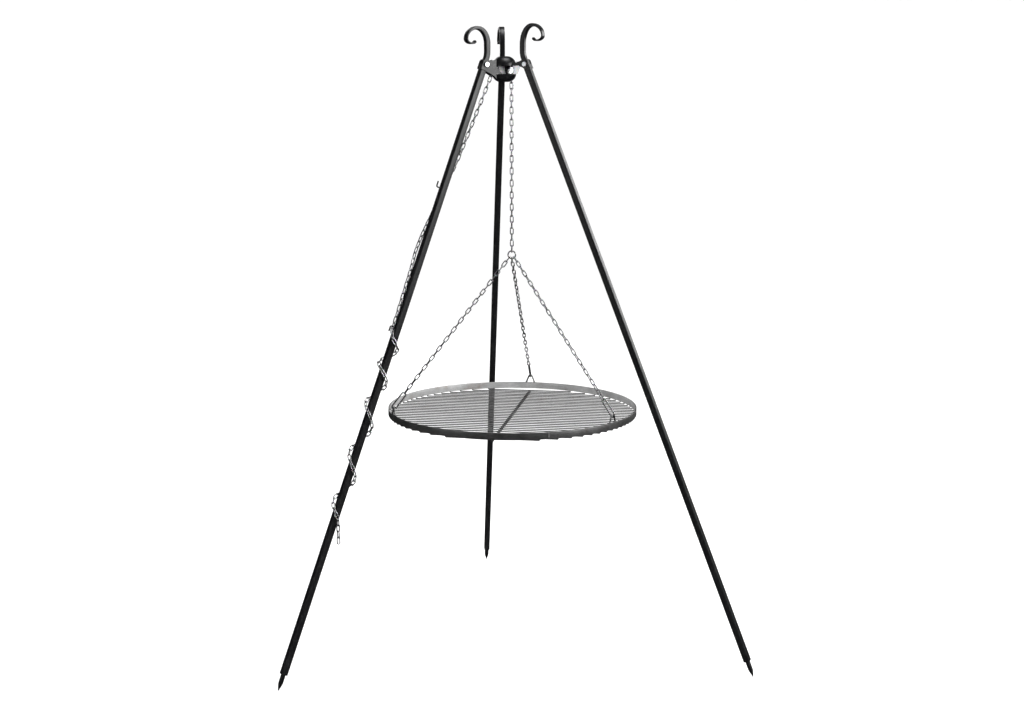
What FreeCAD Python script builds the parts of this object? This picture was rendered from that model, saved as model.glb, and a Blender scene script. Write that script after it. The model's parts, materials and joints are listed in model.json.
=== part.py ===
import FreeCAD, Part

import math
import os

from FreeCAD import Placement, Rotation, Vector

# A campfire tripod with a round grate hung on chains. Millimetres, +Z up, Z = 0 is the ground.
# The origin is the middle of the tripod's footprint box, so the tripod's own axis lies off it in Y.

SIZES = {
    # tripod
    "lean": 22.32,              # each leg's lean from vertical, degrees
    "hinge_radius": 68.5,       # hinge bolt from the tripod's axis
    "hinge_height": 1690.0,
    "tube_size": 18.0,
    "tube_wall": 1.5,
    "tube_top": 12.0,           # tube above the hinge bolt, along the leg
    "bolt_radius": 4.0,
    "bolt_play": 0.08,
    "head_across": 7.5,         # hexagon's circumradius
    "head_height": 5.3,
    "nut_height": 6.5,
    "face_gap": 0.2,            # between a leg and the arm that it turns in
    # ground spikes
    "spike_out": 46.0,          # spike below the tube
    "spike_cone": 24.0,
    "spike_radius": 6.8,
    "spike_plug": 25.0,         # spike inside the tube
    "spike_tip": 1.5,
    # scrolled bars
    "scroll_bar": 14.0,
    "scroll_lip": 4.0,          # thickness at the scroll's end
    # head
    "cap_radius": 34.0,
    "cap_sheet": 2.5,
    "lower_rim": 1663.0,
    "lower_bottom": 1641.0,
    "upper_rim": 1685.5,
    "upper_top": 1712.5,
    "slot_width": 15.0,         # for the chain, in both caps
    "arm_sheet": 2.0,
    "bridge_low": 17.0,         # the arm's stop behind the leg, below the bolt along the leg
    "bridge_high": 4.0,
    "roller_at": 13.0,          # roller's axle from the tripod's axis
    "roller_height": 1674.3,
    "roller_radius": 5.4,
    "roller_width": 10.4,
    "cheek_sheet": 2.0,
    "cheek_gap": 11.2,
    "collar_radius": 14.0,
    "collar_bore": 9.8,
    "collar_width": 3.0,
    "axle_head": 9.6,
    # chain
    "chain_wire": 3.0,
    "chain_inside": 17.7,
    "chain_mouth": 5.5,         # inner width of a link
    "chain_pitch": 17.2,
    "slack_pitch": 16.7,        # where the chain lies slack, over the roller and round the leg
    "hang_radius": 25.3,        # hanging chain from the tripod's axis
    "hang_top": 1673.0,
    "hang_links": 28,
    "ring_wire": 4.0,
    "ring_radius": 11.0,
    "branch_links": 29,
    "hanger_wire": 4.0,
    "hanger_mouth": 9.0,
    # hooks on the left leg
    "hook_wire": 4.0,
    "upper_hook": 370.0,        # below the hinge, along the leg
    "lower_hook": 778.0,
    # grate
    "rim_radius": 364.0,
    "rim_sheet": 4.0,
    "rim_height": 20.0,
    "rim_base": 683.0,
    "rod_radius": 2.0,
    "rod_spacing": 22.5,
    "rods_each_side": 15,
    "cross_bar_radius": 4.0,
    "staple_wire": 5.0,
    "staple_height": 22.0,
    "staple_half": 13.0,
    "staple_bend": 6.0,
    "weld_gap": 0.1,
}

LEGS = {"rear": 90.0, "left": 210.0, "right": 330.0}     # azimuth of each leg, degrees
ROLLER_AZIMUTH = 30.0                                   # the roller's plane holds the left leg
GRATE_AZIMUTH = 75.5                                    # of the cross bar and the first staple
X_AXIS, Y_AXIS, Z_AXIS = Vector(1, 0, 0), Vector(0, 1, 0), Vector(0, 0, 1)

doc = FreeCAD.newDocument("campfire_tripod_grate")
sheet = doc.addObject("Spreadsheet::Sheet", "sizes")
for row, (alias, number) in enumerate(SIZES.items(), start=1):
    sheet.set(f"A{row}", alias)
    sheet.set(f"B{row}", str(number))
    sheet.setAlias(f"B{row}", alias)
doc.recompute()


def size(alias):
    return float(sheet.get(alias))


# ---------------------------------------------------------------- derived dimensions
LEAN = math.radians(size("lean"))
REACH = "(sizes.hinge_height / cos(sizes.lean))"         # hinge bolt to the ground, along the leg
FOOT_RADIUS = size("hinge_radius") + size("hinge_height") * math.tan(LEAN)
AXIS = Vector(0, -FOOT_RADIUS / 4, 0)                   # the tripod's axis on the ground
SLACK = size("chain_inside") - size("chain_pitch")

pieces = []


# ---------------------------------------------------------------- frames
def turned(azimuth):
    return Rotation(Z_AXIS, azimuth)


def upright_frame(azimuth, height=0.0):
    """X points away from the tripod's axis, Z up."""
    return Placement(AXIS + Vector(0, 0, height), turned(azimuth))


def leg_frame(azimuth):
    """Origin on the hinge bolt, X square to the leg and outward, Y along the bolt, Z up the leg."""
    at = upright_frame(azimuth).multVec(Vector(size("hinge_radius"), 0, size("hinge_height")))
    return Placement(at, turned(azimuth).multiply(Rotation(Y_AXIS, -size("lean"))))


HANG = upright_frame(ROLLER_AZIMUTH).multVec(Vector(size("hang_radius"), 0, 0))


def hang_frame(azimuth, height=0.0):
    """Z runs down the middle of the hanging chain and the grate."""
    return Placement(HANG + Vector(0, 0, height), turned(azimuth))


# ---------------------------------------------------------------- building blocks
def bind(thing, **expressions):
    for prop, expression in expressions.items():
        thing.setExpression(prop.replace("_", "."), str(expression))
    return thing


def shift(thing, x="0", y="0", z="0"):
    for axis, expression in zip("xyz", (x, y, z)):
        thing.setExpression(f"Placement.Base.{axis}", str(expression))
    return thing


def piece(thing, label, placement=None):
    """Marks an object as one sub-part, named by its label."""
    thing.Label = label
    if placement is not None:
        thing.Placement = placement
    pieces.append(thing)
    return thing


def box(name, length, width, height, x, y, z):
    thing = bind(doc.addObject("Part::Box", name), Length=length, Width=width, Height=height)
    return shift(thing, x, y, z)


def rod(name, radius, height, x="0", y="0", z="0", axis=Z_AXIS):
    thing = bind(doc.addObject("Part::Cylinder", name), Radius=radius, Height=height)
    thing.Placement = Placement(Vector(), Rotation(Z_AXIS, axis))
    return shift(thing, x, y, z)


def hexagon(name, across, height, y):
    """A hexagonal prism whose axis is Y."""
    thing = bind(doc.addObject("Part::Prism", name), Circumradius=across, Height=height)
    thing.Polygon = 6
    thing.Placement = Placement(Vector(), Rotation(Z_AXIS, Y_AXIS))
    return shift(thing, y=y)


def cut(name, base, tool):
    thing = doc.addObject("Part::Cut", name)
    thing.Base, thing.Tool = base, tool
    return thing


def fuse(name, things):
    thing = doc.addObject("Part::MultiFuse", name)
    thing.Shapes = things
    return thing


def group(name, things):
    thing = doc.addObject("Part::Compound", name)
    thing.Links = things
    return thing


def outline(points):
    """Closed outline: a pair is a corner, and a triple (x, z, "via") is the middle of an arc."""
    corners = [Vector(p[0], p[1], 0) for p in points]
    edges, n = [], 0
    while n < len(points):
        start, after = corners[n], corners[(n + 1) % len(points)]
        if len(points[(n + 1) % len(points)]) == 3:
            edges.append(Part.Arc(start, after, corners[(n + 2) % len(points)]))
            n += 2
        else:
            edges.append(Part.LineSegment(start, after))
            n += 1
    return edges


def sketched_body(name, geometry):
    body = doc.addObject("PartDesign::Body", name)
    sketch = body.newObject("Sketcher::SketchObject", name + "_profile")
    plane = next(f for f in body.Origin.OriginFeatures if f.Role == "XZ_Plane")
    sketch.AttachmentSupport = [(plane, "")]
    sketch.MapMode = "FlatFace"
    sketch.addGeometry(geometry, False)
    return body, sketch


def plate(name, geometry, thickness):
    """A flat plate whose outline lies in X and Z, centred on Y = 0."""
    body, sketch = sketched_body(name, geometry)
    pad = body.newObject("PartDesign::Pad", name + "_pad")
    pad.Profile = sketch
    pad.Midplane = True
    pad.setExpression("Length", thickness)
    sketch.Visibility = False
    return body


def turning(name, geometry):
    """A body turned about Z."""
    body, sketch = sketched_body(name, geometry)
    turn = body.newObject("PartDesign::Revolution", name + "_turn")
    turn.Profile = sketch
    turn.ReferenceAxis = (sketch, ["V_Axis"])
    turn.Angle = 360
    return body


def hole(x, z, radius):
    return Part.Circle(Vector(x, z, 0), Vector(0, 0, 1), radius)


def bent_rod(points, bend, radius):
    """Round rod along straight runs joined by tangent arcs of one bend radius."""
    edges, start = [], points[0]
    for before, corner, after in zip(points, points[1:], points[2:]):
        back, on = (before - corner).normalize(), (after - corner).normalize()
        half = back.getAngle(on) / 2
        run = bend / math.tan(half)
        middle = corner + (back + on).normalize() * (bend / math.sin(half) - bend)
        edges.append(Part.LineSegment(start, corner + back * run).toShape())
        edges.append(Part.Arc(corner + back * run, middle, corner + on * run).toShape())
        start = corner + on * run
    edges.append(Part.LineSegment(start, points[-1]).toShape())
    ring = Part.Wire([Part.makeCircle(radius, points[0], points[1] - points[0])])
    return Part.Wire(edges).makePipeShell([ring], True, True)


def feature(name, shape):
    thing = doc.addObject("Part::Feature", name)
    thing.Shape = shape
    return thing


# ---------------------------------------------------------------- chain
def link_shape(inside, mouth, wire):
    """An oval link: length along Z, width along X."""
    bend = (mouth + wire) / 2
    straight = inside + wire - 2 * bend
    ends = []
    for side in (1, -1):
        end = Part.makeTorus(bend, wire / 2, Vector(), Z_AXIS, 0, 360, 180)
        end.rotate(Vector(), X_AXIS, side * 90)
        end.translate(Vector(0, 0, side * straight / 2))
        ends.append(end)
    sides = [
        Part.makeCylinder(wire / 2, straight, Vector(side * bend, 0, -straight / 2)) for side in (1, -1)
    ]
    return ends[0].fuse([ends[1], *sides])


CHAIN_LINK = link_shape(size("chain_inside"), size("chain_mouth"), size("chain_wire"))


def set_link(shape, start, end, width):
    """A copy of a link between two points of contact, with its width along a direction."""
    along = (end - start).normalize()
    across = (width - along * width.dot(along)).normalize()
    copy = shape.copy()
    turn = Rotation(across, along.cross(across), along, "ZXY")
    copy.transformShape(Placement((start + end) / 2, turn).toMatrix(), True)
    return copy


def chain_run(points, width, last_width=None, lead_twist=()):
    """Links along points of contact, each turned a quarter from the one before.

    The small turn left over is spread along the run, so that the last link's width lies as asked.
    Returns the links and the width that the next link would have."""
    runs = [(b - a).normalize() for a, b in zip(points, points[1:])]
    widths, now = [], width
    for n, along in enumerate(runs):
        if n:
            now = along.cross(now)
        now = (now - along * now.dot(along)).normalize()
        if n < len(lead_twist):
            now = Rotation(along, lead_twist[n]).multVec(now)
        widths.append(now)
    left_over = 0.0
    if last_width is not None:
        wanted = (last_width - runs[-1] * last_width.dot(runs[-1])).normalize()
        turn = math.degrees(math.atan2(widths[-1].cross(wanted).dot(runs[-1]), widths[-1].dot(wanted)))
        left_over = (turn + 90) % 180 - 90
    count = max(len(runs) - 1, 1)
    links = []
    for n, (start, end) in enumerate(zip(points, points[1:])):
        widths[n] = Rotation(runs[n], left_over * n / count).multVec(widths[n])
        links.append(set_link(CHAIN_LINK, start, end, widths[n]))
    return links, runs[-1].cross(widths[-1])


def chain_piece(label, links):
    return piece(feature(label, Part.makeCompound(links)), label)


def blend(stations, at):
    """Values between stations, each (place, value, ...), by straight lines."""
    for low, high in zip(stations, stations[1:]):
        if at <= high[0] or high is stations[-1]:
            share = (at - low[0]) / (high[0] - low[0])
            return [a + (b - a) * share for a, b in zip(low[1:], high[1:])]


def march(path, start, at, stop, pitch):
    """Points along path(t), one pitch apart in a straight line, from the point start."""
    points = [start]
    while at < stop:
        low, high = at, at + 3 * pitch
        for _ in range(40):
            middle = (low + high) / 2
            if (path(middle) - points[-1]).Length < pitch:
                low = middle
            else:
                high = middle
        at = high
        points.append(path(at))
    return points


# ---------------------------------------------------------------- legs
def make_tube(label, azimuth):
    """Square tube, drilled for the hinge bolt."""
    length = f"{REACH} - sizes.spike_out + sizes.tube_top"
    low = f"sizes.spike_out - {REACH}"
    outer = box(label + "_outer", "sizes.tube_size", "sizes.tube_size", length,
                "-sizes.tube_size / 2", "-sizes.tube_size / 2", low)
    bore = "(sizes.tube_size - 2 * sizes.tube_wall)"
    inner = box(label + "_bore", bore, bore, length, f"-{bore} / 2", f"-{bore} / 2", low)
    drill = rod(label + "_drill", "sizes.bolt_radius + sizes.bolt_play", "2 * sizes.tube_size",
                y="-sizes.tube_size", axis=Y_AXIS)
    tube = cut(label + "_tube", outer, fuse(label + "_inside", [inner, drill]))
    return piece(tube, label, leg_frame(azimuth))


def make_spike(label, azimuth):
    tip = f"(sizes.spike_tip / cos(sizes.lean) - {REACH})"
    shank = rod(label + "_shank", "sizes.spike_radius",
                f"sizes.spike_out - {REACH} + sizes.spike_plug - {tip} - sizes.spike_cone",
                z=f"{tip} + sizes.spike_cone")
    cone = doc.addObject("Part::Cone", label + "_cone")
    bind(cone, Radius1="sizes.spike_tip", Radius2="sizes.spike_radius", Height="sizes.spike_cone")
    shift(cone, z=tip)
    point = bind(doc.addObject("Part::Sphere", label + "_point"), Radius="sizes.spike_tip")
    shift(point, z=tip)
    return piece(fuse(label + "_solid", [shank, cone, point]), label, leg_frame(azimuth))


def make_scroll(label, azimuth):
    """A square bar that leaves the tube, straightens up and curls outward into a thinning scroll."""
    half, lip = size("scroll_bar") / 2, size("scroll_lip") / 2
    bolt = Vector(size("hinge_radius"), size("hinge_height"))
    up, out = Vector(-math.sin(LEAN), math.cos(LEAN)), Vector(math.cos(LEAN), math.sin(LEAN))
    bend, crown, curl = 50.0, 33.0, 12.0                # centre-line radii, foot to tip
    crown_height = 1757.0
    low, top = bolt - up * 22, bolt + up * 18
    pivot = top + out * bend
    shaft = pivot.x - bend
    middle = shaft + crown
    end = middle + crown - 2 * curl

    def bend_point(radius, degrees):
        turn = math.radians(degrees)
        return pivot.x - radius * math.cos(turn), pivot.y + radius * math.sin(turn)

    lean = size("lean")
    outside = (shaft - half, middle + crown + lip)      # left and right of the crown's outer arc
    inside = (shaft + half, middle + crown - lip)
    thin = lip * 0.8
    points = [
        tuple(low + out * half)[:2],
        bend_point(bend - half, -lean),
        (*bend_point(bend - half, -lean / 2), "via"),
        bend_point(bend - half, 0),
        (inside[0], crown_height),
        ((inside[0] + inside[1]) / 2, crown_height + (inside[1] - inside[0]) / 2, "via"),
        (inside[1], crown_height),
        ((inside[1] + end + thin) / 2, crown_height - (inside[1] - end - thin) / 2, "via"),
        (end + thin, crown_height),
        (end - thin, crown_height),
        ((outside[1] + end - thin) / 2, crown_height - (outside[1] - end + thin) / 2, "via"),
        (outside[1], crown_height),
        ((outside[0] + outside[1]) / 2, crown_height + (outside[1] - outside[0]) / 2, "via"),
        (outside[0], crown_height),
        bend_point(bend + half, 0),
        (*bend_point(bend + half, -lean / 2), "via"),
        bend_point(bend + half, -lean),
        tuple(low - out * half)[:2],
    ]
    profile = outline(points)
    profile.append(hole(bolt.x, bolt.y, size("bolt_radius") + size("bolt_play")))
    return piece(plate(label + "_bar", profile, "sizes.scroll_bar"), label, upright_frame(azimuth))


def make_hook(label, azimuth, down, tip):
    """A bent wire on the leg's outer face. A positive tip points up the leg."""
    face, reach = size("tube_size") / 2, 14.3
    points = [Vector(face, 0, -down), Vector(face + reach, 0, -down), Vector(face + reach, 0, tip - down)]
    wire = bent_rod(points, 4.0, size("hook_wire") / 2)
    return piece(feature(label, wire), label, leg_frame(azimuth))


for side, azimuth in LEGS.items():
    make_tube(f"leg_tube_{side}", azimuth)
    make_spike(f"ground_spike_{side}", azimuth)
    make_scroll(f"scroll_{side}", azimuth)
make_hook("upper_chain_hook", LEGS["left"], size("upper_hook"), 16.0)
make_hook("lower_chain_hook", LEGS["left"], size("lower_hook"), -16.0)


# ---------------------------------------------------------------- hinge bolts and nuts
def hinge_stack(azimuth, flip):
    """One bolt and one nut, in the leg's frame. The head is on the side that flip picks."""
    frame = leg_frame(azimuth)
    if flip:
        frame = frame.multiply(Placement(Vector(), Rotation(X_AXIS, 180)))
    outer = "(sizes.tube_size / 2 + sizes.face_gap + sizes.arm_sheet)"
    name = f"hinge_{int(azimuth)}"
    shank = rod(name + "_shank", "sizes.bolt_radius", f"2 * {outer} + sizes.nut_height + 2",
                y=f"-{outer} - sizes.nut_height - 2", axis=Y_AXIS)
    head = hexagon(name + "_head", "sizes.head_across", "sizes.head_height", outer)
    bolt = fuse(name + "_bolt", [shank, head])
    blank = hexagon(name + "_blank", "sizes.head_across", "sizes.nut_height", f"-{outer} - sizes.nut_height")
    thread = rod(name + "_thread", "sizes.bolt_radius", "4 * sizes.nut_height",
                 y=f"-{outer} - 2 * sizes.nut_height", axis=Y_AXIS)
    nut = cut(name + "_nut", blank, thread)
    bolt.Placement = nut.Placement = frame
    return bolt, nut


stacks = [hinge_stack(azimuth, side == "right") for side, azimuth in LEGS.items()]
piece(group("bolts", [bolt for bolt, _ in stacks]), "hinge_bolts")
piece(group("nuts", [nut for _, nut in stacks]), "hinge_nuts")


# ---------------------------------------------------------------- head
def make_cap(label, rim, crown, flat):
    """A pressed dish or dome, open at its rim, slotted where the chain passes."""
    radius, sheet_t = size("cap_radius"), size("cap_sheet")
    rise = size(crown) - size(rim)
    inward = sheet_t if rise > 0 else -sheet_t
    profile = outline([
        (0, size(crown)),
        (flat, size(crown)),
        (radius * 0.83, size(rim) + rise * 0.64, "via"),
        (radius, size(rim)),
        (radius - sheet_t, size(rim)),
        ((radius - sheet_t) * 0.82, size(rim) + rise * 0.60, "via"),
        (flat - 1, size(crown) - inward),
        (0, size(crown) - inward),
    ])
    return turning(label + "_dish", profile), label


def chain_slot(name, x, length, z, height):
    slot = box(name, length, "sizes.slot_width", height, x, "-sizes.slot_width / 2", z)
    holder = group(name + "_turned", [slot])
    holder.Placement = Placement(Vector(), turned(ROLLER_AZIMUTH))
    return holder


lower_dish, label = make_cap("lower_cap", "lower_rim", "lower_bottom", 12.0)
lower_slot = chain_slot("lower_slot", "18.5", "24", "sizes.lower_bottom - 5", "40")
piece(cut("lower_cap_slotted", lower_dish, lower_slot), label, Placement(AXIS, Rotation()))
upper_dish, label = make_cap("upper_cap", "upper_rim", "upper_top", 10.0)
upper_slot = chain_slot("upper_slot", "-40", "80", "sizes.upper_rim - 5", "19.5")
piece(cut("upper_cap_slotted", upper_dish, upper_slot), label, Placement(AXIS, Rotation()))


def on_leg(x, z):
    """A point of the leg's frame, as seen in its upright plane."""
    return (size("hinge_radius") + x * math.cos(LEAN) - z * math.sin(LEAN),
            size("hinge_height") + x * math.sin(LEAN) + z * math.cos(LEAN))


ARM_GAP = "(sizes.tube_size + 2 * sizes.face_gap)"
ARM_INSIDE = size("tube_size") / 2 + size("face_gap")
CAP_EDGE = size("cap_radius") + 0.3
EYE_END = [                                             # the arm's outer end, from the top inwards
    on_leg(-9, 14),
    on_leg(4, 14),
    (*on_leg(10, 9), "via"),
    on_leg(ARM_INSIDE + size("arm_sheet"), 2),
    on_leg(ARM_INSIDE + size("arm_sheet"), -size("bridge_low")),
    on_leg(-1, -size("bridge_low")),
]


def strut_outline(tongue):
    """From both caps to the bolt, with a slanted tongue between the caps."""
    above, below = size("upper_rim"), size("lower_rim") + 0.3
    return [*EYE_END, (42, 1658), (CAP_EDGE, 1651), (CAP_EDGE, below), (tongue, below),
            (CAP_EDGE, above), (CAP_EDGE, 1703)]


def strap_outline():
    """From the upper cap alone to the bolt, leaving the roller's side open."""
    return [*EYE_END, (60, 1681), (49, 1685.7), (CAP_EDGE, 1685.7), (CAP_EDGE, 1698), (41, 1694)]


def make_arm(side, azimuth, side_view):
    """Two plates that hold the leg between them, and the bridge behind the leg that stops it."""
    profile = outline(side_view)
    profile.append(hole(size("hinge_radius"), size("hinge_height"), size("bolt_radius") + size("bolt_play")))
    for number, way in ((1, 1), (2, -1)):
        label = f"arm_{side}_plate_{number}"
        frame = upright_frame(azimuth)
        frame.Base = frame.multVec(Vector(0, way * (ARM_INSIDE + size("arm_sheet") / 2), 0))
        piece(plate(label + "_body", profile, "sizes.arm_sheet"), label, frame)
    label = f"arm_{side}_bridge"
    bridge = box(label + "_block", "sizes.arm_sheet", ARM_GAP, "sizes.bridge_low - sizes.bridge_high",
                 f"{ARM_GAP} / 2", f"-{ARM_GAP} / 2", "-sizes.bridge_low")
    piece(group(label + "_placed", [bridge]), label, leg_frame(azimuth))


make_arm("rear", LEGS["rear"], strut_outline(24.0))
make_arm("left", LEGS["left"], strut_outline(14.5))
make_arm("right", LEGS["right"], strap_outline())

roller_frame = upright_frame(ROLLER_AZIMUTH)
roller_frame.Base = roller_frame.multVec(Vector(size("roller_at"), 0, size("roller_height")))

wheel = rod("wheel_blank", "sizes.roller_radius", "sizes.roller_width",
            y="-sizes.roller_width / 2", axis=Y_AXIS)
wheel_bore = rod("wheel_bore", "sizes.bolt_radius + sizes.bolt_play", "2 * sizes.roller_width",
                 y="-sizes.roller_width", axis=Y_AXIS)
piece(cut("wheel", wheel, wheel_bore), "chain_roller", roller_frame)

CHEEK_FACE = "(sizes.cheek_gap / 2 + sizes.cheek_sheet)"
# the axle's head faces -Y of the roller's frame, the side of the left and right legs
axle_shank = rod("axle_shank", "sizes.bolt_radius", f"2 * {CHEEK_FACE} + sizes.nut_height + 2",
                 y=f"-{CHEEK_FACE}", axis=Y_AXIS)
axle_head = rod("axle_head", "sizes.axle_head", "sizes.collar_width + 1.5",
                y=f"-{CHEEK_FACE} - sizes.collar_width - 1.5", axis=Y_AXIS)
piece(fuse("axle", [axle_shank, axle_head]), "roller_axle", roller_frame)
axle_nut_blank = hexagon("axle_nut_blank", "sizes.head_across", "sizes.nut_height", CHEEK_FACE)
axle_nut_thread = rod("axle_nut_thread", "sizes.bolt_radius", "3 * sizes.nut_height",
                      y=f"{CHEEK_FACE} - sizes.nut_height", axis=Y_AXIS)
piece(cut("axle_nut_cut", axle_nut_blank, axle_nut_thread), "roller_axle_nut", roller_frame)
collar_blank = rod("collar_blank", "sizes.collar_radius", "sizes.collar_width",
                   y=f"-{CHEEK_FACE} - sizes.collar_width", axis=Y_AXIS)
collar_bore = rod("collar_bore_tool", "sizes.collar_bore", "3 * sizes.collar_width",
                  y=f"-{CHEEK_FACE} - 2 * sizes.collar_width", axis=Y_AXIS)
piece(cut("collar", collar_blank, collar_bore), "roller_collar", roller_frame)

cheek_low = size("lower_rim") + 0.3
cheek_high = size("upper_rim") - 0.2
CHEEK_END = [(41, cheek_low), (52, cheek_high)]
FRONT_CHEEK = [(-27, cheek_high), (-15, cheek_low), *CHEEK_END]      # it closes the hub's front
REAR_CHEEK = [(8, cheek_high), (3, size("roller_height"), "via"), (8, cheek_low), *CHEEK_END]
for name, way, side_view in (("roller_cheek_front", -1, FRONT_CHEEK), ("roller_cheek_rear", 1, REAR_CHEEK)):
    frame = upright_frame(ROLLER_AZIMUTH)
    frame.Base = frame.multVec(Vector(0, way * (size("cheek_gap") + size("cheek_sheet")) / 2, 0))
    profile = outline(side_view)
    profile.append(hole(size("roller_at"), size("roller_height"), size("bolt_radius") + 0.05))
    piece(plate(name + "_body", profile, "sizes.cheek_sheet"), name, frame)


# ---------------------------------------------------------------- chain over the roller
def in_roller_plane(x, z):
    return upright_frame(ROLLER_AZIMUTH).multVec(Vector(x, 0, z))


HANG_TOP = Vector(HANG.x, HANG.y, size("hang_top"))
drop_width = turned(GRATE_AZIMUTH - 90).multVec(X_AXIS)
over_turns = (117.0, 160.0, 185.0, 203.0, 225.0)        # each link's direction in the roller's plane
over_points = [Vector(size("hang_radius"), size("hang_top"))]
for degrees in over_turns:
    step = Vector(math.cos(math.radians(degrees)), math.sin(math.radians(degrees))) * size("slack_pitch")
    over_points.append(over_points[-1] + step)
over_points = [in_roller_plane(p.x, p.y) for p in over_points]
over_links, next_width = chain_run(over_points, (over_points[1] - over_points[0]).cross(drop_width))
chain_piece("head_chain", over_links)

# ---------------------------------------------------------------- hanging chain
drop = [HANG_TOP - Z_AXIS * size("chain_pitch") * n for n in range(int(size("hang_links")) + 3)]
drop_links, _ = chain_run(drop, drop_width)
chain_piece("swing_link_upper", drop_links[:1])
chain_piece("swing_link_lower", drop_links[1:2])
chain_piece("hanging_chain", drop_links[2:])

ring_centre = drop[-1] + Z_AXIS * (size("ring_wire") / 2 + SLACK / 2 - size("ring_radius"))
ring_frame = Placement(ring_centre, turned(GRATE_AZIMUTH).multiply(Rotation(Z_AXIS, X_AXIS)))
ring = bind(doc.addObject("Part::Torus", "ring"), Radius1="sizes.ring_radius", Radius2="sizes.ring_wire / 2")
piece(ring, "junction_ring", ring_frame)

# ---------------------------------------------------------------- leg chain
left = leg_frame(LEGS["left"])
LEG_CHAIN_PLACES = [
    # below the hinge, square to the leg, along the bolt
    (3.2, -35.0, 0.0),
    (89.0, -30.5, -1.0),
    (268.0, -22.5, -9.5),
    (354.0, -14.0, -14.5),
    (444.0, 0.0, -15.3),
    (508.0, 9.5, -15.3),
    (558.0, 15.0, -12.0),
    (614.0, 15.4, -4.5),
    (754.0, 15.1, 0.0),
    (814.0, 15.1, 0.0),
]
HOOK_PLACE = 15.1
hook_low = size("lower_hook") + size("hook_wire") / 2 + size("chain_wire") + 0.4
leg_chain_end = left.multVec(Vector(HOOK_PLACE, 0, -hook_low))


def leg_path(down):
    x, y = blend(LEG_CHAIN_PLACES, down)
    return left.multVec(Vector(x, y, -down))


def leg_points(pitch):
    """Points down the leg, ending on the last one that is at least a pitch short of the hook."""
    points = march(leg_path, over_points[-1], LEG_CHAIN_PLACES[0][0], hook_low, pitch)
    while (points[-1] - leg_chain_end).Length < pitch or left.inverse().multVec(points[-1]).z < -hook_low:
        points.pop()
    return points


# the pitch is drawn in slightly, so that a whole number of links ends on the hook
low_pitch, high_pitch = size("chain_pitch") - 0.6, size("chain_pitch")
leg_count = len(leg_points(high_pitch))
for _ in range(40):
    trial_pitch = (low_pitch + high_pitch) / 2
    if len(leg_points(trial_pitch)) > leg_count:
        low_pitch = trial_pitch
    else:
        high_pitch = trial_pitch
along_leg = leg_points(low_pitch) + [leg_chain_end]
bolt_way = left.Rotation.multVec(Y_AXIS)
leg_links, _ = chain_run(along_leg, next_width, last_width=bolt_way)
chain_piece("leg_chain", leg_links)

# ---------------------------------------------------------------- chain wound round the left leg
WOUND_PLACES = [
    # below the hinge, turn round the tube in degrees, radius
    (hook_low, 0.0, HOOK_PLACE),
    (814.0, 55.0, 19.5),
    (906.0, 415.0, 19.5),
    (1028.5, 775.0, 19.5),
    (1178.6, 1135.0, 19.5),
    (1317.8, 1495.0, 19.5),
    (1344.0, 1562.0, 19.5),
]


def wound_path(down):
    turn, radius = blend(WOUND_PLACES, down)
    turn = math.radians(turn)
    return left.multVec(Vector(radius * math.cos(turn), radius * math.sin(turn), -down))


wound = march(wound_path, leg_chain_end, hook_low, 1322.0, size("slack_pitch"))
wound_links, tail_width = chain_run(
    wound, left.Rotation.multVec(X_AXIS), lead_twist=(0.0, 11.0, 11.0, 11.0, 11.0))
chain_piece("wound_chain", wound_links)
tail = [wound[-1] - Z_AXIS * size("chain_pitch") * n for n in range(5)]
tail_links, _ = chain_run(tail, tail_width)
chain_piece("chain_tail", tail_links)


# ---------------------------------------------------------------- branch chains, hangers and staples
RIM_MIDDLE = size("rim_radius") - size("rim_sheet") / 2
RIM_TOP = size("rim_base") + size("rim_height")


def ring_point(degrees):
    turn = math.radians(degrees)
    flat = turned(GRATE_AZIMUTH - 90).multVec(X_AXIS)
    return ring_centre + (flat * math.cos(turn) + Z_AXIS * math.sin(turn)) * size("ring_radius")


def make_branch(name, azimuth, on_ring):
    frame = hang_frame(azimuth)
    apex = frame.multVec(Vector(RIM_MIDDLE, 0, RIM_TOP + size("staple_height")))
    wire_at = ring_point(on_ring)
    way = (apex - wire_at).normalize()
    start = wire_at - way * (size("ring_wire") / 2 + SLACK / 2)
    end = apex + way * (size("staple_wire") / 2 + SLACK / 2)
    count = int(size("branch_links"))
    points = [start + way * size("chain_pitch") * n for n in range(count + 1)]
    tangent = ring_point(on_ring + 1) - ring_point(on_ring - 1)
    outward = frame.Rotation.multVec(X_AXIS)
    sideways = frame.Rotation.multVec(Y_AXIS)
    links, _ = chain_run(points, tangent.cross(way), last_width=sideways)
    chain_piece(f"branch_chain_{name}", links)
    hanger = link_shape((end - points[-1]).Length + SLACK, size("hanger_mouth"), size("hanger_wire"))
    piece(feature(f"hanger_{name}", set_link(hanger, points[-1], end, outward)), f"hanger_{name}")


def make_staple(name, azimuth):
    """An inverted V of wire with a round top, cut flat where it stands on the rim."""
    half, height = size("staple_half"), size("staple_height")
    sharp = height
    for _ in range(30):
        sharp = height + size("staple_bend") * (1 / math.sin(math.atan2(half, sharp)) - 1)
    foot = Vector(0, half * (sharp + 6) / sharp, -6)
    points = [foot, Vector(0, 0, sharp), Vector(0, -foot.y, foot.z)]
    wire = bent_rod(points, size("staple_bend"), size("staple_wire") / 2)
    below = Part.makeBox(80, 80, 40, Vector(-40, -40, -40))
    staple = feature(f"staple_{name}", wire.cut(below))
    frame = hang_frame(azimuth)
    frame.Base = frame.multVec(Vector(RIM_MIDDLE, 0, RIM_TOP))
    piece(staple, f"staple_{name}", frame)


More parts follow.
